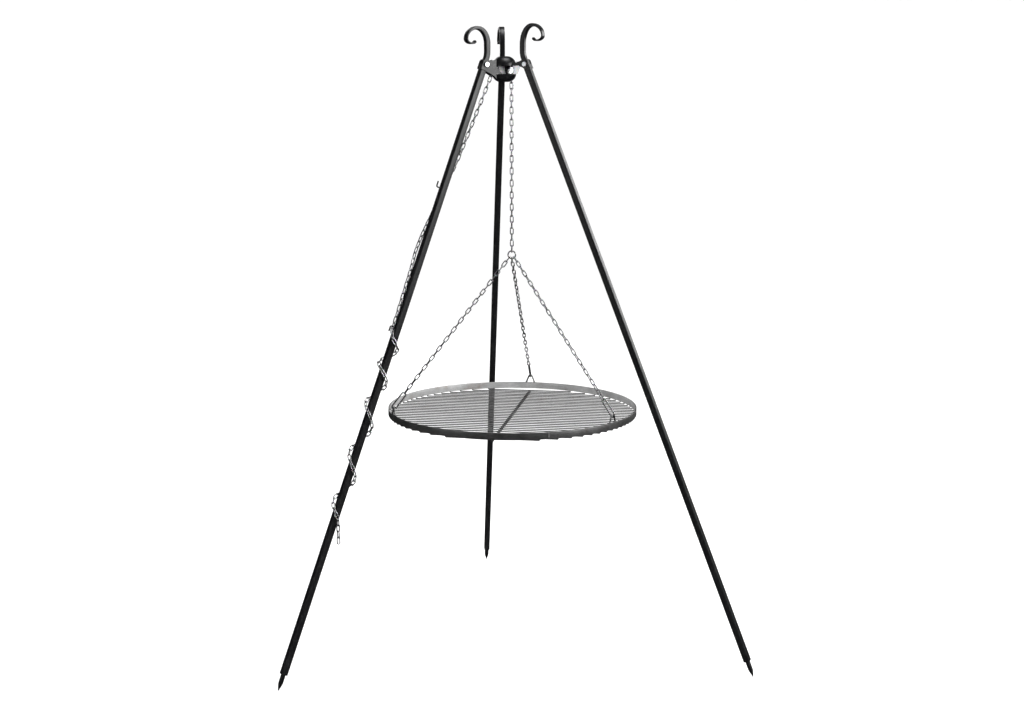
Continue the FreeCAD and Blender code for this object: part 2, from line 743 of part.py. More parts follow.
BRANCHES = {"rear": (GRATE_AZIMUTH, -90.0), "left": (GRATE_AZIMUTH + 120, -132.0),
            "right": (GRATE_AZIMUTH - 120, -48.0)}
for name, (azimuth, on_ring) in BRANCHES.items():
    make_branch(name, azimuth, on_ring)
    make_staple(name, azimuth)

# ---------------------------------------------------------------- grate
rim_outer = rod("rim_outer", "sizes.rim_radius", "sizes.rim_height")
rim_inner = rod("rim_inner", "sizes.rim_radius - sizes.rim_sheet", "sizes.rim_height")
piece(cut("rim", rim_outer, rim_inner), "grate_rim", hang_frame(GRATE_AZIMUTH, size("rim_base")))

rod_level = size("rim_base") - size("rod_radius") - size("weld_gap")
rods = []
for number in range(-int(size("rods_each_side")), int(size("rods_each_side")) + 1):
    half_length = f"sqrt((sizes.rim_radius - sizes.rim_sheet / 2)^2 - ({number} * sizes.rod_spacing)^2)"
    name = f"rod_{number + int(size('rods_each_side'))}"
    rods.append(rod(name, "sizes.rod_radius", f"2 * {half_length}",
                    x=f"{number} * sizes.rod_spacing", y=f"-{half_length}", axis=Y_AXIS))
piece(group("rods", rods), "grate_rods", hang_frame(GRATE_AZIMUTH, rod_level))

bar_level = rod_level - size("rod_radius") - size("cross_bar_radius") - size("weld_gap")
bar = rod("cross_bar", "sizes.cross_bar_radius", "2 * (sizes.rim_radius - 18)",
          x="18 - sizes.rim_radius", axis=X_AXIS)
piece(group("bar", [bar]), "grate_cross_bar", hang_frame(GRATE_AZIMUTH, bar_level))

# ---------------------------------------------------------------- checks and export
doc.recompute()
failed = [thing.Name for thing in doc.Objects if {"Invalid", "Error"} & set(thing.State)]
if failed:
    raise RuntimeError(f"these objects failed: {failed}")
os.makedirs("parts", exist_ok=True)
for thing in pieces:
    shape = thing.Shape
    if shape.isNull() or not shape.isValid() or not shape.Solids:
        raise RuntimeError(f"{thing.Label} has no valid solid")
    shape.exportStep(f"parts/{thing.Label}.step")
    print(f"{thing.Label:24s} {len(shape.Solids):3d} solids {shape.Volume / 1000:9.2f} cm3")
print(f"{len(pieces)} sub-parts, tripod axis at y = {AXIS.y:.3f}")
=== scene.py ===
import json
import math

import bmesh
import bpy
import numpy as np
from mathutils import Matrix, Vector, noise


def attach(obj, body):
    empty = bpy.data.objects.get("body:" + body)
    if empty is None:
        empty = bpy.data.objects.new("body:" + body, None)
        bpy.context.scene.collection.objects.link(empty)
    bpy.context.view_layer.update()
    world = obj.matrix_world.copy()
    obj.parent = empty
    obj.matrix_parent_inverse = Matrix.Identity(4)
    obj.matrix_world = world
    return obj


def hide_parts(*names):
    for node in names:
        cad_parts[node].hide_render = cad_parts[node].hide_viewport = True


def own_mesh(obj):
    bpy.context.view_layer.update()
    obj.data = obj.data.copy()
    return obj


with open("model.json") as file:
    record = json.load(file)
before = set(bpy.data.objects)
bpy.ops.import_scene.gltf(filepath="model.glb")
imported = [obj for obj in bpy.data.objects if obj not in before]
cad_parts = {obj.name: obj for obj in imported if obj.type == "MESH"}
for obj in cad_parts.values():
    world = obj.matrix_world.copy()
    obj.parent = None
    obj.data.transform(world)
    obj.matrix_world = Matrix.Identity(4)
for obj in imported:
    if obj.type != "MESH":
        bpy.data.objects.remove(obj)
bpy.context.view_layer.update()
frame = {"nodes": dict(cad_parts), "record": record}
MM = 0.001

# ---------------------------------------------------------------- driving dimensions, as in the CAD part
LEAN = math.radians(22.32)
HINGE_RADIUS, HINGE_HEIGHT = 68.5 * MM, 1690 * MM
FOOT_RADIUS = HINGE_RADIUS + HINGE_HEIGHT * math.tan(LEAN)
AXIS = Vector((0, -FOOT_RADIUS / 4, 0))                 # the tripod's axis on the ground
REACH = HINGE_HEIGHT / math.cos(LEAN)
LEGS = {"rear": 90.0, "left": 210.0, "right": 330.0}
ROLLER_AZIMUTH, GRATE_AZIMUTH = 30.0, 75.5
HANG_RADIUS = 25.3 * MM                                 # the hanging chain from the tripod's axis
HANG = AXIS + Matrix.Rotation(math.radians(ROLLER_AZIMUTH), 3, "Z") @ Vector((HANG_RADIUS, 0, 0))
Y, Z = Vector((0, 1, 0)), Vector((0, 0, 1))


# ---------------------------------------------------------------- frames
def upright(azimuth, at=AXIS):
    """X points away from the upright axis through a place, Z up."""
    return Matrix.Translation(at) @ Matrix.Rotation(math.radians(azimuth), 4, "Z")


def leg_frame(azimuth):
    """Origin on the hinge bolt, X square to the leg and outward, Y along the bolt, Z up the leg."""
    bolt = Matrix.Translation((HINGE_RADIUS, 0, HINGE_HEIGHT))
    return upright(azimuth) @ bolt @ Matrix.Rotation(-LEAN, 4, "Y")


# ---------------------------------------------------------------- materials
def new_material(name):
    material = bpy.data.materials.new(name)
    material.use_nodes = True
    nodes, links = material.node_tree.nodes, material.node_tree.links
    shader = nodes["Principled BSDF"]

    def node(kind, **settings):
        made = nodes.new("ShaderNode" + kind)
        for key, value in settings.items():
            if key in made.inputs:
                made.inputs[key].default_value = value
            else:
                setattr(made, key, value)
        return made

    return material, shader, node, links.new


def ramp(node, link, source, stops):
    """Colours along a value: stops are (place, grey or colour)."""
    made = node("ValToRGB")
    elements = made.color_ramp.elements
    while len(elements) < len(stops):
        elements.new(0.5)
    for element, (place, colour) in zip(elements, stops):
        element.position = place
        element.color = (*((colour,) * 3 if isinstance(colour, (int, float)) else colour), 1)
    link(source, made.inputs["Fac"])
    return made.outputs["Color"]


def mix(node, link, kind, factor, a, b):
    made = node("Mix", data_type="RGBA", blend_type=kind)
    for socket, value in ((0, factor), (6, a), (7, b)):
        if isinstance(value, bpy.types.NodeSocket):
            link(value, made.inputs[socket])
        else:
            made.inputs[socket].default_value = value
    return made.outputs[2]


def black_steel():
    """Satin black paint over steel: orange peel, a little dust, thin wear on edges."""
    material, shader, node, link = new_material("black_steel")
    place = node("TexCoord").outputs["Object"]
    cloud = node("TexNoise", Scale=9.0, Detail=5.0)
    peel = node("TexNoise", Scale=900.0, Detail=3.0)
    scuff = node("TexNoise", Scale=160.0, Detail=6.0, Roughness=0.7)
    for texture in (cloud, peel, scuff):
        link(place, texture.inputs["Vector"])
    paint = [(0.3, (0.003, 0.003, 0.004)), (0.75, (0.007, 0.007, 0.008))]
    base = ramp(node, link, cloud.outputs["Fac"], paint)
    edges = node("NewGeometry").outputs["Pointiness"]
    edge = ramp(node, link, edges, [(0.56, 0.0), (0.66, 0.7)])
    patch = ramp(node, link, scuff.outputs["Fac"], [(0.52, 0.0), (0.66, 1.0)])
    worn = mix(node, link, "MULTIPLY", 1.0, edge, patch)
    link(mix(node, link, "MIX", worn, base, (0.10, 0.097, 0.094, 1)), shader.inputs["Base Color"])
    link(ramp(node, link, cloud.outputs["Fac"], [(0.25, 0.30), (0.8, 0.42)]), shader.inputs["Roughness"])
    bump = node("Bump", Strength=0.10, Distance=0.0004)
    link(peel.outputs["Fac"], bump.inputs["Height"])
    link(bump.outputs["Normal"], shader.inputs["Normal"])
    shader.inputs["Specular IOR Level"].default_value = 0.45
    return material


def zinc(name, dark, light, edge_tint, matt=0.0):
    """Galvanised steel: a faint spangle, duller patches and painted shade that darkens the hollows. Matt
    adds roughness.
    """
    material, shader, node, link = new_material(name)
    place = node("TexCoord").outputs["Object"]
    spangle = node("TexVoronoi", Scale=420.0, feature="F1")
    cloud = node("TexNoise", Scale=70.0, Detail=6.0)
    grit = node("TexNoise", Scale=1500.0, Detail=2.0)
    for texture in (spangle, cloud, grit):
        link(place, texture.inputs["Vector"])
    base = ramp(node, link, cloud.outputs["Fac"],
                [(0.3, (dark, dark, dark * 1.03)), (0.7, (light, light, light * 1.03))])
    flake = mix(node, link, "OVERLAY", 0.18, base, spangle.outputs["Color"])
    # painted shade: the base colour is darkened where the surface curves inward, in hollows and between
    # links
    painted_hollow_shade = ramp(node, link, node("NewGeometry").outputs["Pointiness"], [(0.40, 0.35), (0.52, 1.0)])
    link(mix(node, link, "MULTIPLY", 0.8, flake, painted_hollow_shade), shader.inputs["Base Color"])
    gloss = ramp(node, link, cloud.outputs["Fac"], [(0.3, 0.24 + matt), (0.75, 0.40 + matt)])
    link(gloss, shader.inputs["Roughness"])
    bump = node("Bump", Strength=0.1, Distance=0.0003)
    link(grit.outputs["Fac"], bump.inputs["Height"])
    link(bump.outputs["Normal"], shader.inputs["Normal"])
    shader.inputs["Metallic"].default_value = 1.0
    shader.inputs["Specular Tint"].default_value = (edge_tint, edge_tint, edge_tint, 1)
    return material


def mill_steel(name, shade, azimuth, metallic):
    """Plain drawn steel: drawing lines along it, grey mill skin, brown heat tint in places."""
    material, shader, node, link = new_material(name)
    place = node("TexCoord").outputs["Object"]
    turned = node("Mapping")
    turned.inputs["Rotation"].default_value = (0, 0, -math.radians(azimuth))
    turned.inputs["Scale"].default_value = (5, 700, 700)
    link(place, turned.inputs["Vector"])
    drawn = node("TexNoise", Scale=1.0, Detail=4.0)
    link(turned.outputs["Vector"], drawn.inputs["Vector"])
    cloud = node("TexNoise", Scale=14.0, Detail=7.0, Roughness=0.6)
    link(place, cloud.inputs["Vector"])
    skin = [(0.25, shade * 0.62), (0.5, shade * 0.95), (0.8, shade * 1.30)]
    base = ramp(node, link, cloud.outputs["Fac"], skin)
    streak = ramp(node, link, drawn.outputs["Fac"], [(0.3, 0.6), (0.7, 1.0)])
    lined = mix(node, link, "MULTIPLY", 0.8, base, streak)
    tint = ramp(node, link, cloud.outputs["Fac"], [(0.28, 0.45), (0.42, 0.0)])
    brown = (shade * 0.55, shade * 0.42, shade * 0.33, 1)
    link(mix(node, link, "MIX", tint, lined, brown), shader.inputs["Base Color"])
    link(ramp(node, link, drawn.outputs["Fac"], [(0.3, 0.34), (0.75, 0.52)]), shader.inputs["Roughness"])
    bump = node("Bump", Strength=0.15, Distance=0.0002)
    link(drawn.outputs["Fac"], bump.inputs["Height"])
    link(bump.outputs["Normal"], shader.inputs["Normal"])
    shader.inputs["Metallic"].default_value = metallic
    return material


BLACK = black_steel()
CHAIN_ZINC = zinc("chain_zinc", 0.40, 0.62, 0.5)
BOLT_ZINC = zinc("bolt_zinc", 0.60, 0.80, 0.9)
PLATE_ZINC = zinc("plate_zinc", 0.30, 0.42, 0.5, matt=0.25)
ROD_STEEL = mill_steel("rod_steel", 0.23, GRATE_AZIMUTH + 90, 0.7)
RIM_STEEL = mill_steel("rim_steel", 0.30, 0, 0.93)
# painted light: a brighter, less metallic copy of the rim steel for the rim's inner faces
RIM_INSIDE_PAINTED_LIGHT = mill_steel("rim_inside_painted_light", 0.50, 0, 0.35)
# painted shade: a very dark copy of the grate steel for the bar in the rods' shadow, also used for the rod
# welds
PAINTED_SHADE_STEEL = mill_steel("painted_shade_steel", 0.045, GRATE_AZIMUTH, 0.7)
FINISH = {"black_steel": BLACK, "galvanised_steel": BOLT_ZINC, "grate_steel": RIM_STEEL}
SLOT_OF = {part["node"]: part["material_slot"] for part in frame["record"]["subparts"]}
BODY_OF = {node: body for body, nodes in frame["record"]["behaviour"]["bodies"].items() for node in nodes}


# ---------------------------------------------------------------- mesh building
def make_piece(name, verts, faces, node, smooth_angle=40.0, finish=None, stands_for=True):
    """A new piece on the body of a CAD node. It stands for that node, or is added to it."""
    mesh = bpy.data.meshes.new(name)
    mesh.from_pydata([tuple(v) for v in verts], [], faces)
    mesh.validate()
    mesh.shade_smooth()
    mesh.set_sharp_from_angle(angle=math.radians(smooth_angle))
    mesh.materials.append(finish or FINISH[SLOT_OF[node]])
    piece = bpy.data.objects.new(name, mesh)
    bpy.context.scene.collection.objects.link(piece)
    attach(piece, BODY_OF[node])
    if stands_for:
        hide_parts(node)
    return piece


def round_edges(thing, width):
    bevel = thing.modifiers.new("rounded_edges", "BEVEL")
    bevel.width = width
    bevel.segments = 2
    bevel.limit_method = "ANGLE"
    bevel.angle_limit = math.radians(35)
    bevel.harden_normals = True


def loft(rings, closed=False, capped=True, start=0):
    """Faces between rings of the same number of points."""
    verts, faces, n = [], [], len(rings[0])
    for ring in rings:
        verts.extend(ring)
    pairs = range(len(rings) if closed else len(rings) - 1)
    for k in pairs:
        a, b = start + k * n, start + (k + 1) % len(rings) * n
        for i in range(n):
            j = (i + 1) % n
            faces.append((a + i, a + j, b + j, b + i))
    if capped and not closed:
        faces.append(tuple(start + i for i in reversed(range(n))))
        faces.append(tuple(start + (len(rings) - 1) * n + i for i in range(n)))
    return verts, faces


class Shape:
    """Verts and faces gathered from several lofts."""

    def __init__(self):
        self.verts, self.faces = [], []

    def add(self, rings, **options):
        verts, faces = loft(rings, start=len(self.verts), **options)
        self.verts += verts
        self.faces += faces
        return self


def circle(radius, count):
    steps = (2 * math.pi * i / count for i in range(count))
    return [(radius * math.cos(a), radius * math.sin(a)) for a in steps]


def rounded_square(half_x, half_y, corner, steps=4):
    """Outline with rounded corners, counter-clockwise."""
    points = []
    for quarter in range(4):
        cx = (half_x - corner) * (1 if quarter in (0, 3) else -1)
        cy = (half_y - corner) * (1 if quarter in (0, 1) else -1)
        for k in range(steps + 1):
            a = math.radians(90 * quarter + 90 * k / steps)
            points.append((cx + corner * math.cos(a), cy + corner * math.sin(a)))
    return points


def lathe(profile, matrix, count=48):
    """Rings round a frame's Z from (radius, height) points."""
    rings = []
    for radius, height in profile:
        rings.append([matrix @ Vector((x, y, height)) for x, y in circle(radius, count)])
    return rings


def ring_at(centre, across, up, outline):
    return [centre + across * x + up * y for x, y in outline]


# ---------------------------------------------------------------- legs
TUBE_HALF, TUBE_WALL = 9 * MM, 1.5 * MM
TUBE_LOW, TUBE_TOP = 46 * MM - REACH, 12 * MM


def make_tube(side, azimuth):
    """Square tube with rounded corners, open at both ends."""
    at = leg_frame(azimuth)
    node = f"leg_tube_{side}"
    outer = rounded_square(TUBE_HALF, TUBE_HALF, 2.0 * MM)
    inner = rounded_square(TUBE_HALF - TUBE_WALL, TUBE_HALF - TUBE_WALL, 0.9 * MM)
    lip = rounded_square(TUBE_HALF - 0.4 * MM, TUBE_HALF - 0.4 * MM, 1.6 * MM)

    def level(outline, z):
        return [at @ Vector((x, y, z)) for x, y in outline]

    rings = [level(inner, TUBE_LOW), level(lip, TUBE_LOW), level(outer, TUBE_LOW + 0.4 * MM)]
    rings += [level(outer, TUBE_TOP - 0.4 * MM), level(lip, TUBE_TOP), level(inner, TUBE_TOP)]
    shape = Shape().add(rings, closed=True)
    make_piece(f"tube_{side}", shape.verts, shape.faces, node)


def make_spike(side, azimuth):
    """Turned ground spike: a shank that runs into a long soft point."""
    at = leg_frame(azimuth)
    radius, tip, cone = 6.8 * MM, 1.5 * MM, 24 * MM
    low = tip / math.cos(LEAN) - REACH
    profile = [(0.0, low - tip)]
    for k in range(1, 6):
        a = math.radians(78 * k / 5)
        profile.append((tip * math.sin(a), low - tip * math.cos(a)))
    for k in range(1, 13):
        t = k / 12
        profile.append((tip + (radius - tip) * math.sin(t * math.pi / 2) ** 1.15, low + cone * t))
    top, edge = TUBE_LOW + 25 * MM, 0.5 * MM            # the spike's upper end, inside the tube
    profile += [(radius, TUBE_LOW + 24 * MM), (radius - edge, top), (0.0, top)]
    shape = Shape().add(lathe(profile, at, 40), capped=False)
    make_piece(f"spike_{side}", shape.verts, shape.faces, f"ground_spike_{side}")


SCROLL_HALF = 7 * MM
SHAFT_POINTS = 13                                       # points of the line before the bar is drawn out
SCROLL_HABIT = {                                        # each hand-bent scroll: how far it reaches and rises
    "left": (4.9 * MM, -3.7 * MM),
    "right": (-4.9 * MM, 3.7 * MM),
    "rear": (0.0, -1.6 * MM),
}


def quarter(points, centre, half_x, half_z, begin, steps):
    """A quarter of an ellipse in the upright plane of a leg, turned clockwise from an angle."""
    for k in range(1, steps + 1):
        a = math.radians(begin - 90 * k / steps)
        points.append(centre + Vector((half_x * math.cos(a), 0, half_z * math.sin(a))))


def scroll_line(side):
    """Centre line of a scrolled bar, from inside the tube to the scroll's tip."""
    bolt = Vector((HINGE_RADIUS, 0, HINGE_HEIGHT))
    up = Vector((-math.sin(LEAN), 0, math.cos(LEAN)))
    out = Vector((math.cos(LEAN), 0, math.sin(LEAN)))
    reach, rise = SCROLL_HABIT[side]
    bend = 50 * MM
    points = [bolt - up * 22 * MM, bolt - up * 4 * MM, bolt + up * 8 * MM]
    pivot = bolt + up * 18 * MM + out * bend
    for k in range(9):
        a = LEAN * (1 - k / 8)
        points.append(pivot + Vector((-bend * math.cos(a), 0, -bend * math.sin(a))))
    shaft = points[-1].x
    shoulder = 1747 * MM
    points.append(Vector((shaft, 0, (points[-1].z + shoulder) / 2)))
    points.append(Vector((shaft, 0, shoulder)))
    crown, brow, curl, lip = 33 * MM + reach * 0.45, 33 * MM + reach * 0.55, 19 * MM, 10 * MM
    top, belly = 1794 * MM + rise, 1764 * MM + rise
    middle = shaft + crown
    quarter(points, Vector((middle, 0, shoulder)), crown, top - shoulder, 180, 12)
    quarter(points, Vector((middle, 0, belly)), brow, top - belly, 90, 12)
    quarter(points, Vector((middle + brow - curl, 0, belly)), curl, 13 * MM, 0, 10)
    quarter(points, Vector((middle + brow - curl, 0, belly - 4 * MM)), lip, 9 * MM, -90, 8)
    return points


def make_scroll(side, azimuth):
    """Square bar drawn out to a thin, widened and rounded scroll end."""
    at = upright(azimuth)
    points = scroll_line(side)
    runs = [0.0]
    for a, b in zip(points, points[1:]):
        runs.append(runs[-1] + (b - a).length)
    begin, total = runs[SHAFT_POINTS], runs[-1]
    tip = 8 * MM                                        # the rounded end
    rings = []
    for n, (point, run) in enumerate(zip(points, runs)):
        way = (points[min(n + 1, len(points) - 1)] - points[max(n - 1, 0)]).normalized()
        side_way = Vector((way.z, 0, -way.x))
        drawn = max(0.0, (run - begin) / (total - begin))
        smooth = drawn * drawn * (3 - 2 * drawn)
        thick = SCROLL_HALF * (1 - 0.74 * min(1.0, smooth * 1.25))
        wide = SCROLL_HALF * (1 + 0.50 * smooth)
        if run > total - tip:
            end = (run - total + tip) / tip
            wide *= math.sqrt(max(0.05, 1 - 0.92 * end * end))
            thick *= 1 - 0.25 * end * end
        dent = noise.noise(point * 90 + Vector((azimuth, 0, 0)))
        thick *= 1 + 0.035 * dent
        outline = rounded_square(thick, wide, min(thick, wide) * (0.16 + 0.35 * smooth), 3)
        rings.append([at @ p for p in ring_at(point, side_way, Y, outline)])
    shape = Shape().add(rings)
    make_piece(f"scroll_bar_{side}", shape.verts, shape.faces, f"scroll_{side}", 38.0)


for side, azimuth in LEGS.items():
    make_tube(side, azimuth)
    make_spike(side, azimuth)
    make_scroll(side, azimuth)


# ---------------------------------------------------------------- bolts and nuts
def hexagon_rings(matrix, apothem, low, high, chamfer_low, chamfer_high, bore=0.0):
    """A hexagon with its corners turned off, as rings from the bottom face to the top one."""
    count, slope = 72, math.tan(math.radians(30))
    edge = apothem * 0.96

    def ring(radius_of, height_of):
        made = []
        for i in range(count):
            a = 2 * math.pi * i / count
            corner = apothem / math.cos((a % (math.pi / 3)) - math.pi / 6)
            r = radius_of(corner)
            made.append(matrix @ Vector((r * math.cos(a), r * math.sin(a), height_of(corner))))
        return made

    rings = [ring(lambda c: bore or edge * 0.02, lambda c: low)]
    if chamfer_low:
        rings.append(ring(lambda c: edge, lambda c: low))
        rings.append(ring(lambda c: c, lambda c: low + (c - edge) * slope))
    else:
        rings.append(ring(lambda c: c, lambda c: low))
    if chamfer_high:
        rings.append(ring(lambda c: c, lambda c: high - (c - edge) * slope))
        rings.append(ring(lambda c: edge, lambda c: high))
    else:
        rings.append(ring(lambda c: c, lambda c: high))
    rings.append(ring(lambda c: bore or edge * 0.02, lambda c: high))
    return rings


def thread_rings(matrix, radius, low, high, pitch=1.25 * MM, count=32):
    """A threaded end as a stack of fine ridges."""
    rings, steps = [], max(2, round((high - low) / (pitch / 2)))
    for k in range(steps + 1):
        z = low + (high - low) * k / steps
        r = radius - (0.55 * MM if k % 2 else 0.0)
        if k >= steps - 1:
            r = radius - 0.9 * MM
        rings.append([matrix @ Vector((x, y, z)) for x, y in circle(r, count)])
    return rings


BOLT_RADIUS, HEX_APOTHEM = 4 * MM, 7.5 * MM * math.cos(math.pi / 6)
HEAD_HEIGHT, NUT_HEIGHT = 5.3 * MM, 6.5 * MM
BORE_RADIUS = BOLT_RADIUS + 0.02 * MM
FACE_GAP, ARM_SHEET = 0.2 * MM, 2 * MM
EAR_FACE = TUBE_HALF + FACE_GAP + ARM_SHEET             # the arm's outer face, from the leg's middle
ROLLER_AT, ROLLER_HEIGHT = 13 * MM, 1674.3 * MM
CHEEK_FACE = 11.2 / 2 * MM + 2 * MM                     # the roller cheek's outer face


def make_hinge_bolts():
    bolts, nuts = Shape(), Shape()
    for side, azimuth in LEGS.items():
        flip = Matrix.Rotation(math.pi, 4, "X") if side == "right" else Matrix.Identity(4)
        at = leg_frame(azimuth) @ flip @ Matrix.Rotation(-math.pi / 2, 4, "X")
        bolts.add(hexagon_rings(at, HEX_APOTHEM, EAR_FACE, EAR_FACE + HEAD_HEIGHT, False, True))
        bolts.add(lathe([(BOLT_RADIUS, -EAR_FACE), (BOLT_RADIUS, EAR_FACE)], at, 32))
        bolts.add(thread_rings(at, BOLT_RADIUS, -EAR_FACE - NUT_HEIGHT - 2 * MM, -EAR_FACE))
        low = -EAR_FACE - NUT_HEIGHT
        nuts.add(hexagon_rings(at, HEX_APOTHEM, low, -EAR_FACE, True, False, BORE_RADIUS), closed=True)
    make_piece("bolts_of_the_hinges", bolts.verts, bolts.faces, "hinge_bolts", 25)
    make_piece("nuts_of_the_hinges", nuts.verts, nuts.faces, "hinge_nuts", 25)


make_hinge_bolts()


# ---------------------------------------------------------------- head
for label in [f"arm_{side}_{n}" for side in LEGS for n in ("plate_1", "plate_2", "bridge")]:
    round_edges(frame["nodes"][label], 0.45 * MM)
for label in ("roller_cheek_front", "roller_cheek_rear", "roller_collar", "roller_axle"):
    round_edges(frame["nodes"][label], 0.4 * MM)
for label in ("lower_cap", "upper_cap"):
    round_edges(frame["nodes"][label], 0.5 * MM)


def make_axle_nut():
    """The nut on the far end of the roller's axle."""
    roller = upright(ROLLER_AZIMUTH) @ Matrix.Translation((ROLLER_AT, 0, ROLLER_HEIGHT))
    at = roller @ Matrix.Rotation(-math.pi / 2, 4, "X")
    high = CHEEK_FACE + NUT_HEIGHT
    rings = hexagon_rings(at, HEX_APOTHEM, CHEEK_FACE, high, False, True, BORE_RADIUS)
    shape = Shape().add(rings, closed=True)
    make_piece("nut_of_the_roller", shape.verts, shape.faces, "roller_axle_nut", 25)


make_axle_nut()


# ---------------------------------------------------------------- chain
WIRE, LINK_INSIDE, LINK_MOUTH = 3 * MM, 17.7 * MM, 5.5 * MM


def link_rings(matrix, inside, mouth, wire, around=12, turn_steps=9):
    """Rings of a welded oval link: length along Z, width along X, with the weld on one long side."""
    bend = (mouth + wire) / 2
    half = (inside + wire) / 2 - bend
    stations = []
    for end in (1, -1):
        for k in range(turn_steps + 1):
            a = math.pi * k / turn_steps
            x, z = end * bend * math.cos(a), end * bend * math.sin(a)
            stations.append((Vector((x, 0, end * half + z)), Vector((x, 0, z)).normalized()))
        for k in range(1, 6):
            share = k / 6
            z = end * half * (1 - 2 * share)
            stations.append((Vector((-end * bend, 0, z)), Vector((-end, 0, 0))))
    rings = []
    for centre, out in stations:
        swell = 0.0
        if centre.x < 0 and abs(centre.z) < half * 0.9:
            swell = 0.16 * math.exp(-(centre.z / (0.6 * wire)) ** 2)
        outline = circle(wire / 2 * (1 + swell), around)
        rings.append([matrix @ p for p in ring_at(centre, out, Y, outline)])
    return rings


def link_places(node):
    """The frame of each link in a CAD node: its middle, with Z along it and X across it."""
    mesh = bmesh.new()
    mesh.from_mesh(frame["nodes"][node].data)
    bmesh.ops.remove_doubles(mesh, verts=mesh.verts, dist=1e-6)
    places, seen = [], set()
    for seed in mesh.faces:
        if seed.index in seen:
            continue
        seen.add(seed.index)
        faces, stack = [], [seed]
        while stack:
            face = stack.pop()
            faces.append(face)
            for edge in face.edges:
                for other in edge.link_faces:
                    if other.index not in seen:
                        seen.add(other.index)
                        stack.append(other)
        area, first, second = 0.0, np.zeros(3), np.zeros((3, 3))
        for face in faces:
            corners = np.array([v.co[:] for v in face.verts[:3]])
            size = face.calc_area()
            total = corners.sum(axis=0)
            area += size
            first += size * total / 3
            second += size / 12 * (corners.T @ corners + np.outer(total, total))
        middle = first / area
        spread = second / area - np.outer(middle, middle)
        axes = np.linalg.eigh(spread)[1]
        along, across = Vector(axes[:, 2]), Vector(axes[:, 1])
        if along.z > 0:
            along.negate()
        if across.dot(Vector((1, 2, 3))) < 0:
            across.negate()
        turn = Matrix((across, along.cross(across), along)).transposed().to_4x4()
        places.append(Matrix.Translation(Vector(middle)) @ turn)
    mesh.free()
    return places


def make_chain(name, node):
    shape = Shape()
    for place in link_places(node):
        shape.add(link_rings(place, LINK_INSIDE, LINK_MOUTH, WIRE), closed=True)
    return make_piece(name, shape.verts, shape.faces, node, 60, CHAIN_ZINC)


CHAINS = ["head_chain", "swing_link_upper", "swing_link_lower", "leg_chain", "wound_chain", "chain_tail",
          "branch_chain_rear", "branch_chain_left", "branch_chain_right"]
for label in CHAINS:
    make_chain(label.replace("chain", "links").replace("link_", "links_"), label)
drop = make_chain("links_to_the_grate", "hanging_chain")
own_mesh(drop)


# ---------------------------------------------------------------- grate
RIM_RADIUS, RIM_SHEET, RIM_BASE, RIM_HEIGHT = 364 * MM, 4 * MM, 683 * MM, 20 * MM
ROD_RADIUS, ROD_SPACING, RODS_EACH_SIDE, BAR_RADIUS, WELD_GAP = 2 * MM, 22.5 * MM, 15, 4 * MM, 0.1 * MM
INSIDE_FACE = RIM_RADIUS - RIM_SHEET + 0.4 * MM         # faces nearer the middle get painted light, a brighter copy of the rim steel
GRATE = upright(GRATE_AZIMUTH, at=HANG)
ROD_LEVEL = RIM_BASE - ROD_RADIUS - WELD_GAP
BAR_LEVEL = ROD_LEVEL - ROD_RADIUS - BAR_RADIUS - WELD_GAP


def add_bead(shape, matrix, centre, half, seed):
    """A weld bead: a low lump, uneven as a hand weld is."""
    rings = []
    for k in range(1, 6):
        a = math.pi * k / 6
        ring = []
        for i in range(9):
            b = 2 * math.pi * i / 9
            point = Vector((math.sin(a) * math.cos(b), math.sin(a) * math.sin(b), math.cos(a)))
            lump = 1 + 0.22 * noise.noise(point * 1.3 + Vector((seed * 7.3, seed * 1.7, seed)))
            ring.append(matrix @ (centre + Vector([p * h * lump for p, h in zip(point, half)])))
        rings.append(ring[::-1])
    shape.add(rings)


def make_rim():
    """Flat bar rolled into a ring, its inside brighter with painted light, with soft edges and one welded
    joint.
    """
    rings, count = [], 288
    for i in range(count):
        a = 2 * math.pi * i / count
        out = Vector((math.cos(a), math.sin(a), 0))
        wave = 0.25 * MM * noise.noise(out * 2.5)
        outline = rounded_square(RIM_SHEET / 2, RIM_HEIGHT / 2, 0.9 * MM, 3)
        centre = out * (RIM_RADIUS - RIM_SHEET / 2 + wave) + Z * (RIM_BASE + RIM_HEIGHT / 2)
        rings.append([GRATE @ p for p in ring_at(centre, out, Z, outline)])
    shape = Shape().add(rings, closed=True)
    ring = make_piece("rim_ring", shape.verts, shape.faces, "grate_rim", 35, RIM_STEEL)
    # the inner faces take the painted-light copy of the rim steel
    ring.data.materials.append(RIM_INSIDE_PAINTED_LIGHT)
    for face in ring.data.polygons:
        if (Vector(face.center).xy - HANG.xy).length < INSIDE_FACE:
            face.material_index = 1
    seam = Shape()
    joint = GRATE @ Matrix.Rotation(math.radians(205), 4, "Z")
    for n in range(7):
        place = Vector((RIM_RADIUS - 0.2 * MM, 0, RIM_BASE + (2.2 + 2.6 * n) * MM))
        add_bead(seam, joint, place, (1.0 * MM, 2.6 * MM, 1.9 * MM), n)
    make_piece("rim_seam", seam.verts, seam.faces, "grate_rim", 60, RIM_STEEL, stands_for=False)


def rod_rings(matrix, start, end, radius, seed):
    """A drawn rod with rounded ends that is not perfectly straight."""
    way = (end - start).normalized()
    across = way.cross(Z)
    length = (end - start).length
    stations = [(0.0, 0.45), (0.5 * MM, 0.86), (1.2 * MM, 1.0)]
    stations += [(length * k / 8, 1.0) for k in range(1, 8)]
    stations += [(length - 1.2 * MM, 1.0), (length - 0.5 * MM, 0.86), (length, 0.45)]
    rings = []
    for run, share in stations:
        bow = math.sin(math.pi * run / length)
        drift = across * noise.noise(Vector((seed, 0.3, 0))) * 1.0 * MM * bow
        centre = start + way * run + drift
        rings.append([matrix @ p for p in ring_at(centre, across, -Z, circle(radius * share, 12))])
    return rings


